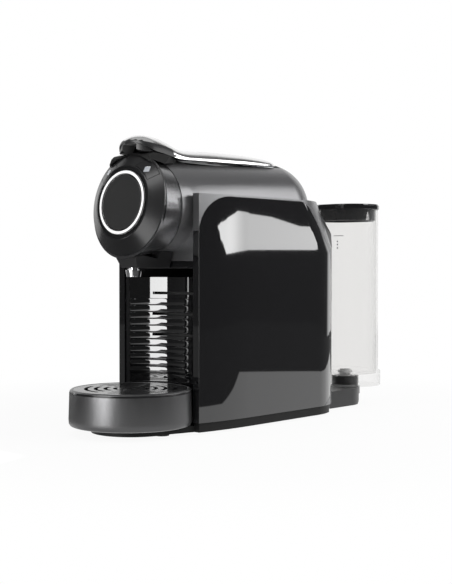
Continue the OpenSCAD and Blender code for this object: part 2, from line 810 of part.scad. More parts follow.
module bin_front() {
    color(gloss_black) difference() {
        intersection() {
            union() {
                translate([0, -tray_y, 0]) rotate([0, 0, 40]) rotate_extrude(angle = 100)
                    column_profile();
                // side walls back to the bin
                for (s = [-1, 1]) box([s > 0 ? bin_x - bin_wall : -60, -104.6, 0],
                    [s > 0 ? 60 : bin_wall - bin_x, bin_front_y - gap, bin_top - 1]);
                // hooks that carry the tray
                for (s = [-1, 1]) box([s * 16 - 4, -94.8, 0], [s * 16 + 4, -88.5, 20]);
            }
            box([-bin_x, -120, bin_floor_z], [bin_x, -70, 200]);
        }
        for (z = slot_zs) box([-26, -100, z - slot_h / 2], [26, -70, z + slot_h / 2]);
    }
}

module capsule_bin() {
    color(satin_black) difference() {
        box([-bin_x, bin_front_y, bin_floor_z], [bin_x, bin_back_y, bin_top]);
        box([bin_wall - bin_x, bin_front_y + bin_wall, bin_floor_z + bin_wall],
            [bin_x - bin_wall, bin_back_y - bin_wall, 200]);
    }
}

module drip_tray() {
    color([0.22, 0.22, 0.23]) translate([0, -tray_y, 0]) difference() {
        union() {
            rotate_extrude(convexity = 4) polygon([[0, 7.5], [tray_r - 2.5, 7.5], [tray_r - 0.6, 8.2],
                [tray_r + 0.5, 10], [tray_r + 0.7, 14], [tray_r, tray_top - 3],
                [tray_r - 0.6, tray_top - 1], [tray_r - 2, tray_top], [tray_r - 3.2, tray_top],
                [tray_r - 3.2, tray_top - 2.7], [tray_r - 4.6, tray_top - 2.7], [tray_r - 4.6, 24],
                [tray_r - 5, 10], [0, 10]]);
            difference() {
                translate([0, 0, 9]) cylinder(r = 5, h = tray_top - 12.3);
            }
        }
    }
}

// Slotted grid in the tray's rim
module ring_slot(r, w, a0, a1) {
    rotate([0, 0, a0]) rotate_extrude(angle = a1 - a0) translate([r - w / 2, 0]) square([w, 8]);
}
module drip_grid() {
    color([0.18, 0.18, 0.19]) translate([0, -tray_y, tray_top - 2.6]) difference() {
        cylinder(r = tray_r - 3.4, h = 2.4);
        for (r = [14, 22.5, 31, 39.5]) for (k = [0:3])
            translate([0, 0, -1]) ring_slot(r, 3.4, 90 * k + 8 + r / 4, 90 * k + 82 + r / 4);
        translate([0, 0, -1]) cylinder(r = 4, h = 8);
    }
}

//---------------------------------------------------------------- water tank
module water_tank() {
    color([0.9, 0.92, 0.94, 0.3]) difference() {
        union() {
            tank_form(tank_r, tank_floor_z, tank_top);
            tank_form(foot_r, tank_floor_z, ledge_z - 1);
            tank_form(foot_r - 0.8, tank_floor_z, ledge_z);
        }
        tank_form(tank_r - tank_wall, 32, tank_top + 1);
        // recess that sits over the pedestal
        translate([0, tank_y, tank_floor_z - 1]) cylinder(r = 15, h = 11);
        translate([0, tank_y, 20]) cylinder(r = 6, h = 20);
    }
}

module tank_lid() {
    color(gloss_black) difference() {
        union() {
            tank_form(lid_r, tank_top + gap, tank_top + 4.4);
            tank_form(lid_r - 1, tank_top, tank_top + 5.6);
            tank_form(tank_r - tank_wall - 0.4, tank_top - 12, tank_top + 2);
        }
        tank_form(tank_r - tank_wall - 2.4, tank_top - 14, tank_top + 2);
    }
}

module tank_valve() {
    color(satin_black) translate([0, tank_y, 0]) difference() {
        union() {
            translate([0, 0, 29.6]) cylinder(r = 5.9, h = 6);
            translate([0, 0, 32]) cylinder(r = 8, h = 2);
        }
        for (a = [0:60:300]) rotate([0, 0, a]) translate([3.6, 0, 20]) cylinder(r = 0.9, h = 30);
    }
}

module valve_seal() {
    color([0.5, 0.5, 0.52]) translate([0, tank_y, 28.3]) difference() {
        cylinder(r = 8.5, h = 0.9);
        translate([0, 0, -1]) cylinder(r = 3, h = 4);
    }
}

// Dock that carries the tank, with the pedestal of the valve
module tank_base() {
    color(satin_black) difference() {
        union() {
            intersection() {
                translate([0, 0, 1.5]) linear_extrude(tank_floor_z - gap - 1.5) dock_plan(0);
                across_x(90) polygon([[60, 9], [90, 1.5], [tank_y - 24, 1.5], [tank_y - 8, 9],
                    [tank_y - 8, 30], [60, 30]]);
            }
            translate([0, tank_y, tank_floor_z - gap - 4]) cylinder(r = 14.2, h = 13.2);
            translate([0, tank_y, 9]) cylinder(r = 16, h = 8);
        }
        translate([0, tank_y, 12]) cylinder(r = 2.6, h = 30);
        translate([0, tank_y + 1, channel_z]) rotate([90, 0, 0]) cylinder(r = 2.6, h = 90);
    }
}
module dock_plan(g) {
    difference() {
        union() {
            translate([-36, 60]) square([72, tank_y - 96]);
            translate([0, tank_y - 36]) circle(r = 36);
        }
        block_plan_rear();
    }
}
module block_plan_rear() {
    intersection() {
        translate([0, back_y]) circle(r = half_w + gap);
        translate([-60, 40]) square([120, 90]);
    }
}

//---------------------------------------------------------------- machine bay
bay_y = bin_back_y + 2 + wall;
floor_top = skirt_z + 2;
pump_y = 60;
pump_z = 33;

module pump() {
    color([0.55, 0.5, 0.42]) {
        shaft_x(18, -30, 24, pump_y, pump_z);
        shaft_x(13, -36, 30, pump_y, pump_z);
        shaft_x(4, -44, 38, pump_y, pump_z);
    }
}

module pump_mounts() {
    color(gloss_black) difference() {
        for (x = [-26, 14]) box([x, pump_y - 14, floor_top], [x + 6, pump_y + 14, pump_z - 8]);
        shaft_x(18, -60, 60, pump_y, pump_z);
    }
}

module thermoblock() {
    color([0.7, 0.7, 0.72]) {
        difference() {
            union() {
                box([-16, 34, 78], [30, 62, 138]);
                for (z = [84:8:132]) box([-17.5, 36, z - 1.5], [31.5, 60, z + 1.5]);
            }
            translate([7, 63, 108]) rotate([90, 0, 0]) cylinder(r = 15, h = 4);
        }
        for (x = [-8, 22]) for (z = [90, 128]) translate([x, 34 + eps, z]) rotate([90, 0, 0])
            cylinder(r = 4, h = 34 - bay_y);
        translate([-6, 50, 74]) cylinder(r = 3.4, h = 5);
        translate([22, 50, 137]) cylinder(r = 3.4, h = 5);
    }
}

module flow_meter() {
    color([0.85, 0.85, 0.8]) {
        translate([34, bay_y + 13, 64]) rotate([90, 0, 0]) cylinder(r = 12, h = 13);
        translate([34, bay_y + 17, 64]) rotate([90, 0, 0]) cylinder(r = 3.4, h = 5);
        translate([34, bay_y + 6.5, 50]) cylinder(r = 3.4, h = 4);
    }
}

board_x = 8.5 - half_w;
module control_board() {
    color([0.1, 0.35, 0.2]) {
        box([board_x, bay_y + 4, 78], [board_x + 28, bay_y + 5.6, 146]);
        for (x = [3, 25]) for (z = [82, 142]) translate([board_x + x, bay_y + 4.2, z]) rotate([90, 0, 0])
            cylinder(r = 2, h = 4.2);
        box([board_x + 3, bay_y + 5.5, 118], [board_x + 17, bay_y + 17, 134]);
        box([board_x + 5, bay_y + 5.5, 92], [board_x + 15, bay_y + 13, 106]);
        translate([board_x + 22, bay_y + 5.5, 100]) rotate([-90, 0, 0]) cylinder(r = 4, h = 12);
    }
}

// Hose of radius r along a list of places, swept with rounded corners
hose_sides = 10;
function unit(v) = v / norm(v);
function soften(p) = concat([p[0]], [for (i = [0:len(p) - 2]) for (t = [0.25, 0.75])
    p[i] * (1 - t) + p[i + 1] * t], [p[len(p) - 1]]);
function direction(p, i) = unit(p[min(i + 1, len(p) - 1)] - p[max(i - 1, 0)]);
function normals(p, i, n) = let (t = direction(p, i), m = unit(n - (n * t) * t))
    i == len(p) - 1 ? [m] : concat([m], normals(p, i + 1, m));
module hose(places, r) {
    p = soften(soften(places));
    side = normals(p, 0, [0.31, 0.22, 0.9]);
    k = hose_sides;
    points = [for (i = [0:len(p) - 1]) let (u = side[i], v = cross(direction(p, i), u))
        for (j = [0:k - 1]) p[i] + r * (u * cos(360 * j / k) + v * sin(360 * j / k))];
    last = len(p) - 1;
    polyhedron(points, concat([[for (j = [0:k - 1]) j]],
        [for (i = [0:last - 1]) for (j = [0:k - 1])
            [i * k + j, (i + 1) * k + j, (i + 1) * k + (j + 1) % k, i * k + (j + 1) % k]],
        [[for (j = [k - 1:-1:0]) last * k + j]]));
}

module suction_hose() {
    color([0.85, 0.85, 0.85]) hose([[0, back_y + half_w + 0.2, channel_z], [0, 90, channel_z],
        [0, 87, 24], [0, 86, 56], [6, 80, 62], [30, 56, 64], [34, 50, 64],
        [34, bay_y + 17, 64]], 3);
}
module feed_hose() {
    color([0.85, 0.85, 0.85]) hose([[34, bay_y + 6.5, 50], [34, bay_y + 6.5, 40],
        [38, bay_y + 9, 34], [45, 34, 33], [47, 52, 33], [46, 60, 33], [38, 60, 33]], 3);
}
module pressure_hose() {
    color([0.9, 0.9, 0.9]) hose([[-44, 60, 33], [board_x + 1, 60, 33], [board_x + 1, 60, 40],
        [board_x + 3, 58, 52],
        [-42, 56, 62], [-32, 54, 66], [-12, 51, 66], [-6, 50, 66], [-6, 50, 74]], 2.4);
}
module brew_hose() {
    color([0.9, 0.9, 0.9]) hose([[22, 50, 142], [22, 50, 147], [22, 42, 152], [22, 40, 158],
        [22, 40, 172], [16, 41, 182], [5, 42, brew_z], [0, 38, brew_z],
        [0, brew_y + 20, brew_z]], 2.4);
}

module gland_axis(r0) {
    translate([0, back_y, gland_z]) rotate([0, 0, gland_turn]) rotate([0, 90, 0]) translate([0, 0, r0])
        children();
}
module cord_gland() {
    color(satin_black) gland_axis(0) difference() {
        union() {
            translate([0, 0, half_w - 7]) cylinder(r = gland_r - 0.1, h = 8);
            translate([0, 0, half_w + 0.6]) cylinder(r = 7.2, h = 2.4);
            translate([0, 0, half_w - 7.6]) cylinder(r = 6.4, h = 1.8);
        }
        cylinder(r = gland_bore, h = 80);
    }
}

base_plate();
rubber_feet();
base_screws();
body_cowl();
side_panel_right();
side_panel_left();
rear_cover();
chassis();
head_band();
front_bezel();
bezel_ring();
front_disc();
button_right();
button_left();
button_light_right();
button_light_left();
switch_board();
nozzle_housing();
spout();
head_underplate();
head_hood();
lever_plate();
lever_shell();
lever_arm();
lever_pin();
brew_frame();
injection_plate();
chamber_seal();
brew_cage();
bin_front();
capsule_bin();
drip_tray();
drip_grid();
water_tank();
tank_lid();
tank_valve();
valve_seal();
tank_base();
thermoblock();
pump();
pump_mounts();
flow_meter();
control_board();
suction_hose();
feed_hose();
pressure_hose();
brew_hose();
cord_gland();
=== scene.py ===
import bmesh
import bpy
import json
import math
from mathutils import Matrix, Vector


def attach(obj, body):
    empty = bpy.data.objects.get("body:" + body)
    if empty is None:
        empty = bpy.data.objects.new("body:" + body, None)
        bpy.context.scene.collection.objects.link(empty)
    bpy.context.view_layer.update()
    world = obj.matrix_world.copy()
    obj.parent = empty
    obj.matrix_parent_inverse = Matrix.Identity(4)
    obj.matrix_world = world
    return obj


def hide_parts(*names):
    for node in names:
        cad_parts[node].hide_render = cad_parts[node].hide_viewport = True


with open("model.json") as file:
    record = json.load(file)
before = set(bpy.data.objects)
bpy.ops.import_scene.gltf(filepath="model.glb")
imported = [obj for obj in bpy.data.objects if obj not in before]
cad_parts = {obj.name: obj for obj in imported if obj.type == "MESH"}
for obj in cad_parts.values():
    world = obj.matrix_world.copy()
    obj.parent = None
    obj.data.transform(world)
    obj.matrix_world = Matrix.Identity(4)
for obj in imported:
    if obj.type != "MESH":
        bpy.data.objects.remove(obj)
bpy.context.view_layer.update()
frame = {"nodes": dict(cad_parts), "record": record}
nodes = frame["nodes"]


# ------------------------------------------------------------------ view
def set_camera():
    film_height, focal_length = 36.0, 67.87  # millimetres
    place = (0.714, -0.811, 0.145)
    tilt, turn = math.radians(88.8), math.radians(42.2)
    lens = bpy.data.cameras.new("studio_camera")
    lens.sensor_fit = "VERTICAL"
    lens.sensor_height = film_height
    lens.lens = focal_length
    lens.clip_start = 0.05
    lens.clip_end = 60.0
    camera = bpy.data.objects.new("studio_camera", lens)
    bpy.context.scene.collection.objects.link(camera)
    camera.location = place
    camera.rotation_euler = (tilt, 0.0, turn)
    bpy.context.scene.camera = camera


set_camera()
bpy.context.scene.view_settings.view_transform = "Standard"


# ------------------------------------------------------------------ materials
def links(material):
    return material.node_tree.links


def feed(tree, value, socket):
    """Sets a socket to a number, or joins it to another node's output."""
    if isinstance(value, (int, float)):
        socket.default_value = value
    else:
        tree.links.new(value, socket)


def new_group(name, inputs, outputs):
    group = bpy.data.node_groups.new(name, "ShaderNodeTree")
    for label, kind, value in inputs:
        socket = group.interface.new_socket(name=label, in_out="INPUT", socket_type=kind)
        socket.default_value = value
    for label, kind in outputs:
        group.interface.new_socket(name=label, in_out="OUTPUT", socket_type=kind)
    entry = group.nodes.new("NodeGroupInput")
    leave = group.nodes.new("NodeGroupOutput")
    return group, entry, leave


def math_node(tree, operation, a=None, b=None, c=None, clamp=False):
    made = tree.nodes.new("ShaderNodeMath")
    made.operation = operation
    made.use_clamp = clamp
    for value, socket in zip((a, b, c), made.inputs):
        if value is not None:
            feed(tree, value, socket)
    return made.outputs[0]


def noise_node(tree, vector, scale, detail=2.0, rough=0.5):
    made = tree.nodes.new("ShaderNodeTexNoise")
    made.inputs["Detail"].default_value = detail
    made.inputs["Roughness"].default_value = rough
    feed(tree, scale, made.inputs["Scale"])
    feed(tree, vector, made.inputs["Vector"])
    return made.outputs["Fac"]


def tint_node(tree, blend="MIX"):
    made = tree.nodes.new("ShaderNodeMix")
    made.data_type = "RGBA"
    made.blend_type = blend
    return made


def build_moulded_grain():
    """Fine pebbled skin of a moulded part: roughness that varies and a height."""
    group, entry, leave = new_group(
        "moulded_grain",
        [("Grain Scale", "NodeSocketFloat", 1800.0), ("Roughness", "NodeSocketFloat", 0.45),
         ("Variation", "NodeSocketFloat", 0.08)],
        [("Roughness", "NodeSocketFloat"), ("Height", "NodeSocketFloat")])
    cloud_scale = 38.0
    place = group.nodes.new("ShaderNodeTexCoord")
    fine = noise_node(group, place.outputs["Object"], entry.outputs["Grain Scale"], detail=1.0)
    broad = noise_node(group, place.outputs["Object"], cloud_scale, detail=3.0)
    offset = math_node(group, "SUBTRACT", broad, 0.5)
    swing = math_node(group, "MULTIPLY", offset, entry.outputs["Variation"])
    group.links.new(math_node(group, "ADD", swing, entry.outputs["Roughness"], clamp=True),
                    leave.inputs["Roughness"])
    group.links.new(fine, leave.inputs["Height"])
    return group


def build_handling():
    """Faint wipe marks and settled dust on a polished part."""
    group, entry, leave = new_group(
        "handling",
        [("Roughness", "NodeSocketFloat", 0.05), ("Wipe", "NodeSocketFloat", 0.05),
         ("Dust", "NodeSocketFloat", 0.02)],
        [("Roughness", "NodeSocketFloat"), ("Dust", "NodeSocketFloat"), ("Height", "NodeSocketFloat")])
    wipe_scale, wipe_stretch, wave_scale = 22.0, (1.0, 0.35, 1.6), 14.0
    speck_scale, speck_level = 2600.0, 0.74
    place = group.nodes.new("ShaderNodeTexCoord")
    stretch = group.nodes.new("ShaderNodeMapping")
    stretch.inputs["Scale"].default_value = wipe_stretch
    group.links.new(place.outputs["Object"], stretch.inputs["Vector"])
    broad = noise_node(group, stretch.outputs["Vector"], wipe_scale, detail=4.0, rough=0.6)
    wiped = math_node(group, "POWER", broad, 3.0)
    swing = math_node(group, "MULTIPLY", wiped, entry.outputs["Wipe"])
    group.links.new(math_node(group, "ADD", swing, entry.outputs["Roughness"], clamp=True),
                    leave.inputs["Roughness"])
    specks = noise_node(group, place.outputs["Object"], speck_scale, detail=1.0)
    sharp = math_node(group, "GREATER_THAN", specks, speck_level)
    split = group.nodes.new("ShaderNodeSeparateXYZ")
    group.links.new(place.outputs["Normal"], split.inputs["Vector"])
    upward = math_node(group, "MAXIMUM", split.outputs["Z"], 0.0)
    lying = math_node(group, "MULTIPLY", sharp, upward)
    group.links.new(math_node(group, "MULTIPLY", lying, entry.outputs["Dust"]), leave.inputs["Dust"])
    group.links.new(noise_node(group, place.outputs["Object"], wave_scale, detail=0.0),
                    leave.inputs["Height"])
    return group


def build_flake():
    """Metal flakes under a satin lacquer: small cells of varying shade."""
    group, entry, leave = new_group(
        "lacquer_flake",
        [("Colour", "NodeSocketColor", (0.2, 0.2, 0.2, 1.0)), ("Sparkle", "NodeSocketFloat", 0.25),
         ("Flake Scale", "NodeSocketFloat", 5200.0)],
        [("Colour", "NodeSocketColor"), ("Height", "NodeSocketFloat")])
    place = group.nodes.new("ShaderNodeTexCoord")
    cells = group.nodes.new("ShaderNodeTexVoronoi")
    group.links.new(place.outputs["Object"], cells.inputs["Vector"])
    group.links.new(entry.outputs["Flake Scale"], cells.inputs["Scale"])
    grey = group.nodes.new("ShaderNodeRGBToBW")
    group.links.new(cells.outputs["Color"], grey.inputs["Color"])
    offset = math_node(group, "SUBTRACT", grey.outputs[0], 0.5)
    factor = math_node(group, "MULTIPLY_ADD", offset, entry.outputs["Sparkle"], 1.0)
    tint = tint_node(group, "MULTIPLY")
    tint.inputs["Factor"].default_value = 1.0
    group.links.new(entry.outputs["Colour"], tint.inputs["A"])
    group.links.new(factor, tint.inputs["B"])
    group.links.new(tint.outputs["Result"], leave.inputs["Colour"])
    group.links.new(grey.outputs[0], leave.inputs["Height"])
    return group


moulded_grain = build_moulded_grain()
handling = build_handling()
lacquer_flake = build_flake()


def new_finish(name):
    material = bpy.data.materials.new(name)
    material.use_nodes = True
    shader = material.node_tree.nodes["Principled BSDF"]
    return material, shader


def place_group(material, group, **values):
    made = material.node_tree.nodes.new("ShaderNodeGroup")
    made.node_tree = group
    for key, value in values.items():
        made.inputs[key.replace("_", " ")].default_value = value
    return made


def bump(material, shader, height, distance):
    """Relief on a surface; the distance is its depth in metres."""
    made = material.node_tree.nodes.new("ShaderNodeBump")
    made.inputs["Distance"].default_value = distance
    made.inputs["Strength"].default_value = 1.0
    links(material).new(height, made.inputs["Height"])
    links(material).new(made.outputs["Normal"], shader.inputs["Normal"])


def moulded(name, colour, rough, grain=1800.0, depth=0.00003, variation=0.08, specular=0.5):
    """Moulded plastic or rubber with a fine grain."""
    material, shader = new_finish(name)
    shader.inputs["Base Color"].default_value = (*colour, 1.0)
    shader.inputs["Specular IOR Level"].default_value = specular
    skin = place_group(material, moulded_grain, Grain_Scale=grain, Roughness=rough, Variation=variation)
    links(material).new(skin.outputs["Roughness"], shader.inputs["Roughness"])
    bump(material, shader, skin.outputs["Height"], depth)
    return material


def polished(name, colour):
    """Polished plastic under a clear coat, with faint wipe marks and dust."""
    dust_colour, wave = (0.42, 0.41, 0.39), 0.00004
    material, shader = new_finish(name)
    shader.inputs["Specular IOR Level"].default_value = 0.5
    shader.inputs["Coat Weight"].default_value = 1.0
    shader.inputs["Coat Roughness"].default_value = 0.02
    worn = place_group(material, handling, Roughness=0.03, Wipe=0.03, Dust=0.03)
    tint = tint_node(material.node_tree)
    tint.inputs["A"].default_value = (*colour, 1.0)
    tint.inputs["B"].default_value = (*dust_colour, 1.0)
    links(material).new(worn.outputs["Dust"], tint.inputs["Factor"])
    links(material).new(tint.outputs["Result"], shader.inputs["Base Color"])
    links(material).new(worn.outputs["Roughness"], shader.inputs["Roughness"])
    bump(material, shader, worn.outputs["Height"], wave)
    return material


def lacquered(name, colour, rough, metallic, sparkle, coat=0.0):
    """Lacquer with metal flakes in it."""
    flake_relief = 0.000012
    material, shader = new_finish(name)
    flake = place_group(material, lacquer_flake, Colour=(*colour, 1.0), Sparkle=sparkle)
    links(material).new(flake.outputs["Colour"], shader.inputs["Base Color"])
    shader.inputs["Metallic"].default_value = metallic
    shader.inputs["Roughness"].default_value = rough
    shader.inputs["Coat Weight"].default_value = coat
    shader.inputs["Coat Roughness"].default_value = 0.15
    bump(material, shader, flake.outputs["Height"], flake_relief)
    return material


def turned_metal(name, colour, rough):
    """Bare metal with fine turning lines."""
    line_scale, rough_swing, line_relief = 420.0, 0.2, 0.00001
    material, shader = new_finish(name)
    tree = material.node_tree
    place = tree.nodes.new("ShaderNodeTexCoord")
    stretch = tree.nodes.new("ShaderNodeMapping")
    stretch.inputs["Scale"].default_value = (0.06, 1.0, 1.0)
    tree.links.new(place.outputs["Object"], stretch.inputs["Vector"])
    lines = noise_node(tree, stretch.outputs["Vector"], line_scale, detail=3.0)
    rough_out = math_node(tree, "MULTIPLY_ADD", lines, rough_swing, rough - rough_swing / 2, clamp=True)
    tree.links.new(rough_out, shader.inputs["Roughness"])
    shader.inputs["Base Color"].default_value = (*colour, 1.0)
    shader.inputs["Metallic"].default_value = 1.0
    bump(material, shader, lines, line_relief)
    return material


def lit(name, colour, rough, strength):
    """A white part that glows with the given emission strength: a lamp behind the icon window, and painted
    glow on the ring.
    """
    material = moulded(name, colour, rough, grain=1400.0, depth=0.00001)
    shader = material.node_tree.nodes["Principled BSDF"]
    shader.inputs["Emission Color"].default_value = (1.0, 1.0, 1.0, 1.0)
    shader.inputs["Emission Strength"].default_value = strength
    return material


finishes = {
    "shell_grey": lacquered("satin_graphite_lacquer", (0.19, 0.19, 0.195), 0.26, metallic=0.6, sparkle=0.2),
    "gloss_black": polished("gloss_black_shell", (0.006, 0.006, 0.007)),
    "satin_black": moulded("satin_black_shell", (0.022, 0.022, 0.023), 0.36),
    # painted light: the ring has no lamp; its emission stands in for the brightness of a bright white ring
    "bright_ring": lit("painted_glow_white_ring", (0.8, 0.8, 0.8), 0.3, strength=0.6),
    "lever_silver": lacquered("silver_lever_lacquer", (0.78, 0.78, 0.78), 0.09, metallic=0.92,
                              sparkle=0.04, coat=0.3),
    "tray_grey": lacquered("satin_dark_tray", (0.1, 0.1, 0.102), 0.33, metallic=0.7, sparkle=0.2),
    "steel": turned_metal("machined_steel", (0.55, 0.56, 0.57), 0.3),
    "cast_alloy": moulded("cast_alloy", (0.5, 0.5, 0.51), 0.5, grain=900.0, depth=0.00008),
    "inner_plastic": moulded("inner_moulding", (0.05, 0.05, 0.052), 0.5),
    "rubber": moulded("foot_rubber", (0.018, 0.018, 0.018), 0.7, grain=2400.0, depth=0.00004,
                      variation=0.1, specular=0.3),
    "seal_rubber": moulded("silicone_seal", (0.45, 0.14, 0.07), 0.45),
    "hose_clear": moulded("milky_hose", (0.6, 0.61, 0.59), 0.35),
    "hose_white": moulded("white_pressure_tube", (0.78, 0.78, 0.76), 0.3),
    "board_green": moulded("circuit_board", (0.02, 0.12, 0.05), 0.35),
    "light_white": lit("diffusing_window", (0.42, 0.45, 0.5), 0.25, strength=0.1),
    "brass": turned_metal("turned_brass", (0.62, 0.45, 0.2), 0.25),
}


def clear_tank():
    """Clear moulded shell: see-through, with a faint haze and a sheen that grows towards its edges."""
    faint_haze, edge_sheen = 0.016, 0.6
    material, shader = new_finish("clear_tank_shell")
    tree = material.node_tree
    shader.inputs["Base Color"].default_value = (0.86, 0.87, 0.87, 1.0)
    worn = place_group(material, handling, Roughness=0.03, Wipe=0.05, Dust=0.0)
    links(material).new(worn.outputs["Roughness"], shader.inputs["Roughness"])
    clear = tree.nodes.new("ShaderNodeBsdfTransparent")
    clear.inputs["Color"].default_value = (0.951, 0.949, 0.946, 1.0)
    edge = tree.nodes.new("ShaderNodeLayerWeight")
    edge.inputs["Blend"].default_value = 0.28
    rim = math_node(tree, "POWER", edge.outputs["Facing"], 2.0)
    haze = math_node(tree, "MULTIPLY_ADD", rim, edge_sheen, faint_haze, clamp=True)
    blend = tree.nodes.new("ShaderNodeMixShader")
    tree.links.new(haze, blend.inputs["Fac"])
    tree.links.new(clear.outputs["BSDF"], blend.inputs[1])
    tree.links.new(shader.outputs["BSDF"], blend.inputs[2])
    tree.links.new(blend.outputs["Shader"], tree.nodes["Material Output"].inputs["Surface"])
    return material


finishes["clear_tank"] = clear_tank()
# satin black of the bezel and buttons; on the ring's sides and under the tray's rim it is painted shade
face_black_and_painted_shade = moulded("satin_black_face_and_painted_shade", (0.024, 0.024, 0.025), 0.18, depth=0.00001, specular=0.16)
disc_black = moulded("satin_black_disc", (0.042, 0.042, 0.042), 0.25, depth=0.00001, specular=0.3)
grid_black = moulded("satin_black_grid", (0.03, 0.03, 0.031), 0.22, depth=0.00001, specular=0.5)
recess_grey = moulded("finger_recess_grey", (0.16, 0.16, 0.16), 0.5)
pale_valve = moulded("pale_valve_plastic", (0.62, 0.62, 0.62), 0.4)
hood_black = moulded("dull_black_hood", (0.016, 0.016, 0.016), 0.45, specular=0.15)
band_metal = lacquered("brushed_graphite_band", (0.17, 0.17, 0.175), 0.17, metallic=0.85, sparkle=0.1)
# dark underside of the lever's shell; on the lever skin's nose it is painted shade
underside_black_and_painted_shade = moulded("dark_underside_and_painted_nose_shade", (0.028, 0.028, 0.029), 0.35, specular=0.3)
# chrome for the spout; on the bezel's widest edge and the buttons' ends it is a painted highlight
chrome_and_painted_highlight = turned_metal("polished_metal_and_painted_highlight", (0.62, 0.62, 0.63), 0.1)
mark_ink = moulded("level_mark_ink", (0.12, 0.12, 0.12), 0.5)

slot_of = {row["node"]: row["material_slot"] for row in frame["record"]["subparts"]}
body_of = {name: body for body, names in frame["record"]["behaviour"]["bodies"].items() for name in names}


def finish_nodes():
    for name, node in nodes.items():
        node.data.materials.clear()
        node.data.materials.append(finishes[slot_of[name]])


finish_nodes()
for name in ("tank_valve", "valve_seal"):
    nodes[name].data.materials[0] = pale_valve


# ------------------------------------------------------------------ pieces
# lengths are in metres; a width is that of a softened edge
weld_distance = 0.000002
hollow_axis = Vector((0.0, -0.1486, 0.0))  # of the bin's hollow front and of the round tray
face_lean = math.radians(8.0)
face_centre = Vector((0.0, -0.158, 0.2029))
face_axis = Vector((0.0, -math.cos(face_lean), math.sin(face_lean)))


def nothing_selected():
    if bpy.context.mode != "OBJECT":
        bpy.ops.object.mode_set(mode="OBJECT")
    bpy.ops.object.select_all(action="DESELECT")


def take(piece):
    nothing_selected()
    piece.select_set(True)
    bpy.context.view_layer.objects.active = piece


def apply_modifiers(piece):
    take(piece)
    for modifier in list(piece.modifiers):
        bpy.ops.object.modifier_apply(modifier=modifier.name)


def hand_over(piece, body, slot, finish, *replaced):
    """Gives a finished piece its finish and its body, and hides the nodes that it stands for."""
    piece.data.name = piece.name
    piece.data.materials.clear()
    piece.data.materials.append(finish)
    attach(piece, body)
    if replaced:
        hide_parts(*replaced)
    return piece


def worked_copy(node, name, flatness=0.4):
    """A copy of a node's solid; faces that meet at less than the flatness, in degrees, are joined."""
    take(nodes[node])
    bpy.ops.object.duplicate()
    piece = bpy.context.active_object
    piece.parent = None
    piece.name = name
    for key in [key for key in piece.keys() if key.startswith("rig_")]:
        del piece[key]
    bpy.ops.object.mode_set(mode="EDIT")
    bpy.ops.mesh.select_all(action="SELECT")
    bpy.ops.mesh.remove_doubles(threshold=weld_distance)
    bpy.ops.mesh.dissolve_limited(angle_limit=math.radians(flatness))
    bpy.ops.object.mode_set(mode="OBJECT")
    return piece


def start_picking(piece, kind):
    """Clears the selection of vertices, edges or faces, and leaves the piece ready for a new one."""
    take(piece)
    bpy.ops.object.mode_set(mode="EDIT")
    bpy.ops.mesh.select_mode(type=kind)
    bpy.ops.mesh.select_all(action="DESELECT")
    bpy.ops.object.mode_set(mode="OBJECT")


def pick_vertices(piece, wanted):
    """Selects the vertices whose place passes the test, and stays in edit mode."""
    start_picking(piece, "VERT")
    for vertex in piece.data.vertices:
        vertex.select = wanted(vertex.co)
    bpy.ops.object.mode_set(mode="EDIT")


def pick_faces(piece, wanted):
    """Selects the faces whose centre and normal pass the test, and stays in edit mode."""
    start_picking(piece, "FACE")
    for face in piece.data.polygons:
        face.select = wanted(face.center, face.normal)
    bpy.ops.object.mode_set(mode="EDIT")


def paint_picked(piece, finish):
    """Gives the picked faces a second finish and leaves edit mode."""
    piece.data.materials.append(finish)
    piece.active_material_index = len(piece.data.materials) - 1
    bpy.ops.object.material_slot_assign()
    bpy.ops.object.mode_set(mode="OBJECT")


def weigh_outer_edges(piece, angle):
    """Marks the edges that stand out, and leaves the inner corners as they are."""
    shape = bmesh.new()
    shape.from_mesh(piece.data)
    outer = [edge.index for edge in shape.edges
             if edge.is_manifold and edge.calc_face_angle_signed() > math.radians(angle)]
    shape.free()
    start_picking(piece, "EDGE")
    for index in outer:
        piece.data.edges[index].select = True
    bpy.ops.object.mode_set(mode="EDIT")
    bpy.ops.transform.edge_bevelweight(value=1.0)
    bpy.ops.object.mode_set(mode="OBJECT")


def soften_edges(piece, width, segments=3, outer_only=False):
    """Rounds the edges that turn by more than the least angle."""
    least_angle = 32.0
    if outer_only:
        weigh_outer_edges(piece, least_angle)
    bevel = piece.modifiers.new("softened_edges", "BEVEL")
    bevel.width = width
    bevel.segments = segments
    bevel.limit_method = "WEIGHT" if outer_only else "ANGLE"
    bevel.angle_limit = math.radians(least_angle)
    bevel.use_clamp_overlap = True
    bevel.miter_outer = "MITER_ARC"
    apply_modifiers(piece)


def smooth_by_angle(piece, angle=34.0):
    """Smooth shading up to an angle in degrees; large flat faces keep mirroring as flat ones."""
    take(piece)
    bpy.ops.object.shade_smooth_by_angle(angle=math.radians(angle))
    weighted = piece.modifiers.new("flat_faces_stay_flat", "WEIGHTED_NORMAL")
    weighted.keep_sharp = True
    weighted.weight = 90
    apply_modifiers(piece)


def finish_off(piece, node, width, segments=3, finish=None, outer_only=False):
    """Softens a reshaped copy and puts it in its node's place."""
    soften_edges(piece, width, segments, outer_only)
    smooth_by_angle(piece)
    slot = slot_of[node]
    return hand_over(piece, body_of[node], slot, finish or finishes[slot], node)


def softened(node, name, width, segments=3, finish=None, flatness=0.4, outer_only=False):
    """The node's solid with its moulded edges softened, in the node's place."""
    return finish_off(worked_copy(node, name, flatness), node, width, segments, finish, outer_only)


def outward_from_face(place):
    """The way out from the round face's axis at a place."""
    across = place - face_centre
    return across - face_axis * across.dot(face_axis)


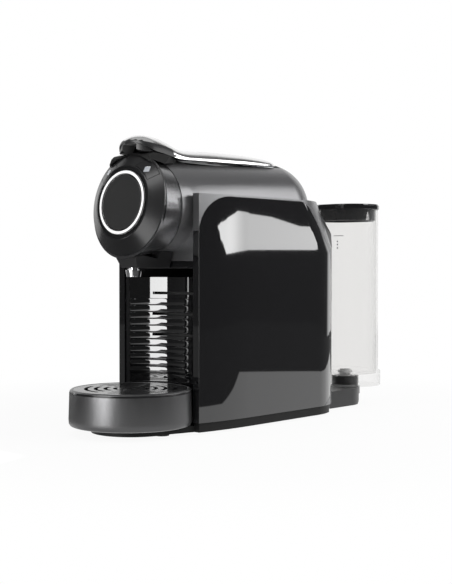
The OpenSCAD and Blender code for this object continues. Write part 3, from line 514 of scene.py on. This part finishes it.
def rear_neck():
    """The neck behind the body, drawn in towards the tank as it is moulded."""
    piece = worked_copy("rear_cover", "rear_neck")
    neck_line = (0.0, 0.12, 0.1)
    # from and to along the depth, and the share of the width that stays
    for low, high, width_kept in ((0.125, 0.2, 0.26), (0.11, 0.125, 0.56), (0.0, 0.11, 0.86)):
        pick_vertices(piece, lambda place: low < place.y <= high)
        bpy.ops.transform.resize(value=(width_kept, 1.0, 1.0), center_override=neck_line)
        bpy.ops.object.mode_set(mode="OBJECT")
    return finish_off(piece, "rear_cover", 0.0012)


def face_bezel():
    """The black bezel; its widest edge carries a painted highlight: those faces are painted chrome so they
    show a thin bright line.
    """
    rim_radius = 0.0446
    most_forward, least_outward, most_outward = 0.25, 0.3, 0.999
    piece = softened("front_bezel", "face_bezel", 0.0008, finish=face_black_and_painted_shade, outer_only=True)

    def painted_highlight_edge(place, normal):
        outward = outward_from_face(place)
        return (outward.length > rim_radius and normal.dot(face_axis) < most_forward
                and least_outward < normal.dot(outward.normalized()) < most_outward)
    # painted highlight: the faces of the bezel's widest edge get chrome so they read as a bright line
    pick_faces(piece, painted_highlight_edge)
    paint_picked(piece, chrome_and_painted_highlight)
    return piece


def push_button(node, name):
    """A button in the bezel; its two ends carry a painted highlight: their slanted faces are painted chrome
    so they show a bright edge.
    """
    least_forward, most_forward, most_outward = 0.2, 0.93, 0.4
    piece = softened(node, name, 0.0004, 2, finish=face_black_and_painted_shade, outer_only=True)
    # painted highlight: the slanted end faces get chrome so they read as a bright edge
    pick_faces(piece, lambda place, normal: least_forward < normal.dot(face_axis) < most_forward
               and abs(normal.dot(outward_from_face(place).normalized())) < most_outward)
    paint_picked(piece, chrome_and_painted_highlight)
    return piece


def narrow_ring():
    """The ring with its painted glow, drawn down to the band that shows; its sides are painted black as
    painted shade.
    """
    inner_radius, widening, front_normal = 0.0262, 1.017, 0.6
    piece = worked_copy("bezel_ring", "lit_ring")
    pick_vertices(piece, lambda place: outward_from_face(place).length < inner_radius)
    bpy.ops.transform.resize(value=(widening, widening, widening), center_override=face_centre)
    bpy.ops.object.mode_set(mode="OBJECT")
    finish_off(piece, "bezel_ring", 0.0003, 2)
    # painted shade: the ring's sides are painted black
    pick_faces(piece, lambda place, normal: normal.dot(face_axis) < front_normal)
    paint_picked(piece, face_black_and_painted_shade)
    return piece


def collar():
    """The metal band round the head; its rear edge stands clear of the cowl."""
    rear_edge, clearance = -0.1275, 0.0009
    piece = worked_copy("head_band", "head_collar")
    pick_vertices(piece, lambda place: place.y > rear_edge)
    bpy.ops.transform.translate(value=(0.0, -clearance, 0.0))
    bpy.ops.object.mode_set(mode="OBJECT")
    return finish_off(piece, "head_band", 0.0008, finish=band_metal)


def ribbed_front():
    """The bin's hollow front: a ribbed skin turned about the hollow's axis, with the cup-rest slots
    cut through it."""
    crest, valley, back = 0.0576, 0.05825, 0.0594
    foot, rib_foot, rib_head, head = 0.0102, 0.0474, 0.1185, 0.137
    ribs, half_rib, rib_steps = 11, 0.0032, 6
    turns, start = 96, math.radians(42.5)
    cup_rest_heights, cup_rest_size = (0.1227, 0.1034, 0.0842), (0.052, 0.02, 0.0026)
    front = [(valley, foot), (valley, rib_foot)]
    for rib in range(ribs):
        middle = rib_foot + half_rib * (2 * rib + 1)
        for step in range(-rib_steps, rib_steps + 1):
            share = math.sin(math.pi / 2 * step / rib_steps)
            front.append((valley - (valley - crest) * math.sqrt(max(0.0, 1 - share * share)),
                          middle + half_rib * share))
    profile = front + [(valley, rib_head), (valley, head), (back, head), (back, foot)]
    nothing_selected()
    bpy.ops.mesh.primitive_circle_add(vertices=len(profile), radius=0.01, fill_type="NOTHING")
    skin = bpy.context.active_object
    skin.name = "ribbed_bin_skin"
    for vertex, (out, up) in zip(skin.data.vertices, profile):
        vertex.co = hollow_axis + Vector((math.cos(start) * out, math.sin(start) * out, up))
    bpy.ops.object.mode_set(mode="EDIT")
    bpy.ops.mesh.select_all(action="SELECT")
    bpy.ops.mesh.remove_doubles(threshold=weld_distance)
    bpy.ops.mesh.spin(steps=turns, angle=math.pi - 2 * start, center=hollow_axis, axis=(0.0, 0.0, -1.0))
    bpy.ops.mesh.select_all(action="SELECT")
    bpy.ops.mesh.fill_holes(sides=0)
    bpy.ops.mesh.normals_make_consistent(inside=False)
    bpy.ops.object.mode_set(mode="OBJECT")
    for height in cup_rest_heights:
        nothing_selected()
        bpy.ops.mesh.primitive_cube_add(size=1.0, location=(0.0, -0.094, height), scale=cup_rest_size)
        cutter = bpy.context.active_object
        slot_cut = skin.modifiers.new("slot", "BOOLEAN")
        slot_cut.operation = "DIFFERENCE"
        slot_cut.solver = "EXACT"
        slot_cut.object = cutter
        apply_modifiers(skin)
        take(cutter)
        bpy.ops.object.delete()
    smooth_by_angle(skin, 38.0)
    slot = slot_of["bin_front"]
    hand_over(skin, body_of["bin_front"], slot, finishes[slot])
    return softened("bin_front", "ribbed_bin_front", 0.00025, 2)


def lever_plate():
    """The bright lever skin; on its nose the faces that don't face up are painted dark, as painted shade.
    """
    nose_from, top_normal = -0.116, 0.55
    piece = worked_copy("lever_plate", "lever_skin", 0.12)
    smooth_by_angle(piece, 40.0)
    slot = slot_of["lever_plate"]
    hand_over(piece, body_of["lever_plate"], slot, finishes[slot], "lever_plate")
    # painted shade: the nose's faces that don't face up are painted dark
    pick_faces(piece, lambda place, normal: place.y < nose_from and normal.z < top_normal)
    paint_picked(piece, underside_black_and_painted_shade)
    return piece


def lever_underside():
    """The dark underside of the lever, with a lighter grip recess under its nose."""
    half_width, front_of, below = 0.0092, -0.1185, 0.2546
    piece = softened("lever_shell", "lever_underside", 0.0008, 2, finish=underside_black_and_painted_shade)
    pick_faces(piece, lambda place, normal: abs(place.x) < half_width and place.y < front_of
               and place.z < below)
    paint_picked(piece, recess_grey)
    return piece


def tray_bowl():
    """The drip tray; under its rim a line of painted shade: the faces of the chamfer there are painted
    black.
    """
    painted_shade_height, wall_radius = 0.0368, 0.0532
    piece = softened("drip_tray", "drip_tray_bowl", 0.0003, 2)
    # painted shade: the chamfer under the rim is painted black in place of a groove's shade
    pick_faces(piece, lambda place, normal: place.z > painted_shade_height and 0.2 < normal.z < 0.4
               and math.hypot(place.x - hollow_axis.x, place.y - hollow_axis.y) > wall_radius)
    paint_picked(piece, face_black_and_painted_shade)
    return piece


def tank_marks():
    """The fill line and the three level dots on the tank's outside."""
    centre, radius, ink = Vector((0.007, 0.171, 0.0)), 0.02985, 0.00012
    # each mark's middle and sweep in degrees, its height and how tall it is
    marks = ((-80.0, 22.0, 0.1804, 0.0006), (-82.0, 2.6, 0.1745, 0.0014),
             (-82.0, 2.6, 0.1711, 0.0014), (-82.0, 2.6, 0.1674, 0.0014))
    made = []
    for middle, sweep, height, tall in marks:
        nothing_selected()
        start = math.radians(middle - sweep / 2)
        bpy.ops.mesh.primitive_plane_add(size=1.0)
        strip = bpy.context.active_object
        strip.name = "level_mark_%d" % (len(made) + 1)
        corners = [(out, up) for up in (height - tall / 2, height + tall / 2)
                   for out in (radius, radius + ink)]
        for vertex, (out, up) in zip(strip.data.vertices, corners):
            vertex.co = centre + Vector((math.cos(start) * out, math.sin(start) * out, up))
        bpy.ops.object.mode_set(mode="EDIT")
        bpy.ops.mesh.select_all(action="SELECT")
        bpy.ops.mesh.spin(steps=max(3, int(sweep / 2)), angle=math.radians(sweep), center=centre,
                          axis=(0.0, 0.0, -1.0))
        bpy.ops.mesh.select_all(action="SELECT")
        bpy.ops.mesh.normals_make_consistent(inside=False)
        bpy.ops.object.mode_set(mode="OBJECT")
        made.append(hand_over(strip, body_of["water_tank"], "satin_black", mark_ink))
    return made


softened("side_panel_right", "gloss_panel_right", 0.0014, 4)
softened("side_panel_left", "gloss_panel_left", 0.0014, 4)
softened("body_cowl", "domed_cowl", 0.0004, 2, flatness=0.12, outer_only=True)
collar()
face_bezel()
narrow_ring()
softened("front_disc", "face_disc", 0.0005, finish=disc_black)
push_button("button_right", "push_button_right")
push_button("button_left", "push_button_left")
softened("nozzle_housing", "outlet_shroud", 0.0008)
softened("head_hood", "lever_hood", 0.0025, 4, finish=hood_black)
ribbed_front()
lever_plate()
lever_underside()
softened("spout", "coffee_spout", 0.0003, 2, finish=chrome_and_painted_highlight)
tank_marks()
softened("capsule_bin", "capsule_bin_box", 0.0008)
tray_bowl()
softened("drip_grid", "slotted_grid", 0.0003, 2, finish=grid_black)
rear_neck()
softened("tank_base", "tank_dock", 0.001)
softened("tank_lid", "tank_lid_cap", 0.0009)
softened("base_plate", "floor_pan", 0.0006, 2, finish=hood_black)
softened("head_underplate", "recess_ceiling", 0.0006, 2)


# ------------------------------------------------------------------ studio
def add_card(name, centre, facing, width, height, strength, diffuse=True, glossy=True):
    """A glowing studio panel, width by height, turned to the place it faces."""
    bpy.ops.object.select_all(action="DESELECT")
    light = bpy.data.lights.new(name, "AREA")
    light.shape = "RECTANGLE"
    light.size = width
    light.size_y = height
    light.energy = strength * width * height * math.pi
    lamp = bpy.data.objects.new(name, light)
    bpy.context.scene.collection.objects.link(lamp)
    lamp.location = centre
    lamp.rotation_euler = (Vector(facing) - Vector(centre)).to_track_quat("-Z", "Y").to_euler()
    lamp.visible_camera = False
    lamp.visible_glossy = glossy
    lamp.visible_diffuse = diffuse
    return lamp


def smooth_step(tree, value, low, high, out_low=0.0, out_high=1.0):
    """A value that passes softly from one level to another between two places."""
    made = tree.nodes.new("ShaderNodeMapRange")
    made.interpolation_type = "SMOOTHSTEP"
    made.inputs["From Min"].default_value = low
    made.inputs["From Max"].default_value = high
    made.inputs["To Min"].default_value = out_low
    made.inputs["To Max"].default_value = out_high
    tree.links.new(value, made.inputs["Value"])
    return made.outputs["Result"]


def along(tree, vector, direction):
    """How far a place lies along a direction."""
    made = tree.nodes.new("ShaderNodeVectorMath")
    made.operation = "DOT_PRODUCT"
    tree.links.new(vector, made.inputs[0])
    made.inputs[1].default_value = direction
    return made.outputs["Value"]


def seen_directly(tree, rays):
    """One where the eye looks straight or through the clear tank, nought elsewhere."""
    return math_node(tree, "MAXIMUM", rays.outputs["Is Camera Ray"], rays.outputs["Is Transmission Ray"])


def build_floor():
    """White paper sweep: pure white to the eye, with the object's shadow; polished parts
    see painted light: a painted pool of lit paper with soft edges, and a painted bright strip."""
    floor_side, painted_unlit_level, painted_strip_strength = 3.0, 0.1, 9.0
    bpy.ops.object.select_all(action="DESELECT")
    bpy.ops.mesh.primitive_grid_add(x_subdivisions=2, y_subdivisions=2, size=1.0)
    floor = bpy.context.active_object
    floor.name = "studio_floor"
    floor.scale = (floor_side, floor_side, 1.0)
    bpy.ops.object.transform_apply(location=True, rotation=True, scale=True)
    material, shader = new_finish("white_paper_with_painted_light")
    shader.inputs["Base Color"].default_value = (0.88, 0.88, 0.88, 1.0)
    shader.inputs["Roughness"].default_value = 0.8
    shader.inputs["Specular IOR Level"].default_value = 0.1
    tree = material.node_tree
    place = tree.nodes.new("ShaderNodeTexCoord").outputs["Object"]
    rays = tree.nodes.new("ShaderNodeLightPath")
    far = tree.nodes.new("ShaderNodeVectorMath")
    far.operation = "LENGTH"
    tree.links.new(place, far.inputs[0])
    direct = seen_directly(tree, rays)
    fading_shadow = smooth_step(tree, far.outputs["Value"], 0.22, 0.5, 0.93, 1.0)
    share = math_node(tree, "MULTIPLY", direct, fading_shadow)
    # to reflections the paper shows only its painted light
    share = math_node(tree, "MAXIMUM", share, rays.outputs["Is Glossy Ray"])
    # the edges of the painted pool of lit paper, each along its own direction across the floor
    rear_end = smooth_step(tree, along(tree, place, (0.73, 0.683, 0.0)), 0.545, 0.558, 1.0, 0.0)
    right_end = smooth_step(tree, along(tree, place, (0.777, -0.631, 0.0)), 0.155, 0.161, 1.0, 0.0)
    near_end = smooth_step(tree, along(tree, place, (1.0, 0.0, 0.0)), 0.219, 0.229, 1.0, 0.0)
    left_end = smooth_step(tree, along(tree, place, (1.0, 0.0, 0.0)), -0.12, -0.06, 0.1, 1.0)
    sheet = math_node(tree, "MULTIPLY", rear_end, math_node(tree, "MAXIMUM", right_end, near_end))
    sheet = math_node(tree, "MULTIPLY", sheet, left_end)
    painted_paper_light = math_node(tree, "MULTIPLY_ADD", sheet, 0.9, painted_unlit_level)
    # painted light: a bright strip painted on the paper where the tall lamp in front of the object would
    # light it; that lamp does not light the paper
    painted_strip = math_node(tree, "MULTIPLY",
                     smooth_step(tree, along(tree, place, (1.0, -0.20, 0.0)), 0.03, 0.07),
                     smooth_step(tree, along(tree, place, (1.0, 0.19, 0.0)), -0.05, -0.02, 1.0, 0.0))
    painted_strip_end = smooth_step(tree, along(tree, place, (0.0, 1.0, 0.0)), -0.4, -0.28, 1.0, 0.0)
    painted_strip = math_node(tree, "MULTIPLY", painted_strip, painted_strip_end)
    painted_paper_light = math_node(tree, "MULTIPLY_ADD", painted_strip, painted_strip_strength, painted_paper_light)
    glow = tree.nodes.new("ShaderNodeEmission")
    tree.links.new(math_node(tree, "MAXIMUM", direct, painted_paper_light), glow.inputs["Strength"])
    blend = tree.nodes.new("ShaderNodeMixShader")
    tree.links.new(share, blend.inputs["Fac"])
    tree.links.new(shader.outputs["BSDF"], blend.inputs[1])
    tree.links.new(glow.outputs["Emission"], blend.inputs[2])
    tree.links.new(blend.outputs["Shader"], tree.nodes["Material Output"].inputs["Surface"])
    floor.data.materials.append(material)
    return floor


def build_world():
    """White behind the object, and a dark room with a lit ceiling for polished parts to mirror."""
    dark_room, lit_ceiling, fill_light = 0.08, 0.45, 0.35
    world = bpy.data.worlds.new("studio")
    bpy.context.scene.world = world
    world.use_nodes = True
    tree = world.node_tree
    back = tree.nodes["Background"]
    back.inputs["Color"].default_value = (1.0, 1.0, 1.0, 1.0)
    rays = tree.nodes.new("ShaderNodeLightPath")
    way = tree.nodes.new("ShaderNodeTexCoord").outputs["Generated"]
    height = along(tree, way, (0.0, 0.0, 1.0))
    backdrop = smooth_step(tree, along(tree, way, (-0.72, 0.694, 0.0)), 0.52, 0.66)
    below_top = smooth_step(tree, height, 0.55, 0.8, 1.0, 0.0)
    sweep = math_node(tree, "MULTIPLY", backdrop, below_top)
    ceiling = smooth_step(tree, height, 0.7, 0.8, dark_room, lit_ceiling)
    room = math_node(tree, "MAXIMUM", sweep, ceiling)
    glossy = math_node(tree, "MULTIPLY", rays.outputs["Is Glossy Ray"], room)
    seen = seen_directly(tree, rays)
    diffuse = math_node(tree, "MULTIPLY", rays.outputs["Is Diffuse Ray"], fill_light)
    total = math_node(tree, "MAXIMUM", math_node(tree, "MAXIMUM", seen, glossy), diffuse)
    tree.links.new(total, back.inputs["Strength"])


def build_side_window():
    """The reflector at the right: the lit sheet whose outline the gloss panel mirrors."""
    distance = 0.8
    corners = ((0.293, 0.216), (0.265, 0.221), (0.171, 0.233), (0.122, 0.240), (0.034, 0.237),
               (-0.013, 0.230), (-0.059, 0.215), (-0.120, 0.212), (-0.145, 0.195), (-0.085, 0.176),
               (0.034, 0.176), (0.223, 0.169))
    away, across = Vector((0.70711, 0.70711, 0.0)), Vector((0.70711, -0.70711, 0.0))
    bpy.ops.object.select_all(action="DESELECT")
    bpy.ops.mesh.primitive_circle_add(vertices=len(corners), radius=0.1, fill_type="NGON")
    sheet = bpy.context.active_object
    sheet.name = "side_window"
    for vertex, (along_sheet, height) in zip(sheet.data.vertices, corners):
        vertex.co = away * distance + across * along_sheet + Vector((0.0, 0.0, height))
    material, _ = new_finish("lit_sheet")
    tree = material.node_tree
    place = tree.nodes.new("ShaderNodeTexCoord").outputs["Object"]
    glow = tree.nodes.new("ShaderNodeEmission")
    brightness = smooth_step(tree, along(tree, place, tuple(across)), 0.05, 0.2, 4.6, 8.0)
    tree.links.new(brightness, glow.inputs["Strength"])
    tree.links.new(glow.outputs["Emission"], tree.nodes["Material Output"].inputs["Surface"])
    sheet.data.materials.append(material)
    sheet.visible_camera = False
    sheet.visible_diffuse = False
    sheet.visible_shadow = False
    sheet.visible_transmission = False
    return sheet


build_floor()
build_world()
add_card("top_softbox", (0.2, -0.3, 1.6), (0.0, 0.0, 0.1), 1.4, 1.2, 1.5, glossy=False)
add_card("left_softbox", (-1.3, -1.0, 0.7), (0.0, -0.05, 0.15), 0.7, 1.2, 1.2, glossy=False)
add_card("left_strip", (-1.46, -0.38, 0.6), (0.0, -0.06, 0.2), 0.18, 1.2, 3.5, diffuse=False)
build_side_window()
# the long softbox on the right, which the cowl and the band mirror
add_card("side_softbox", (0.700, 0.431, 0.53), (0.134, -0.134, 0.4), 0.82, 0.5, 3.6)
add_card("front_softbox", (-0.145, -1.45, 1.0), (-0.145, 0.0, 1.0), 0.81, 2.0, 10.0, diffuse=False)
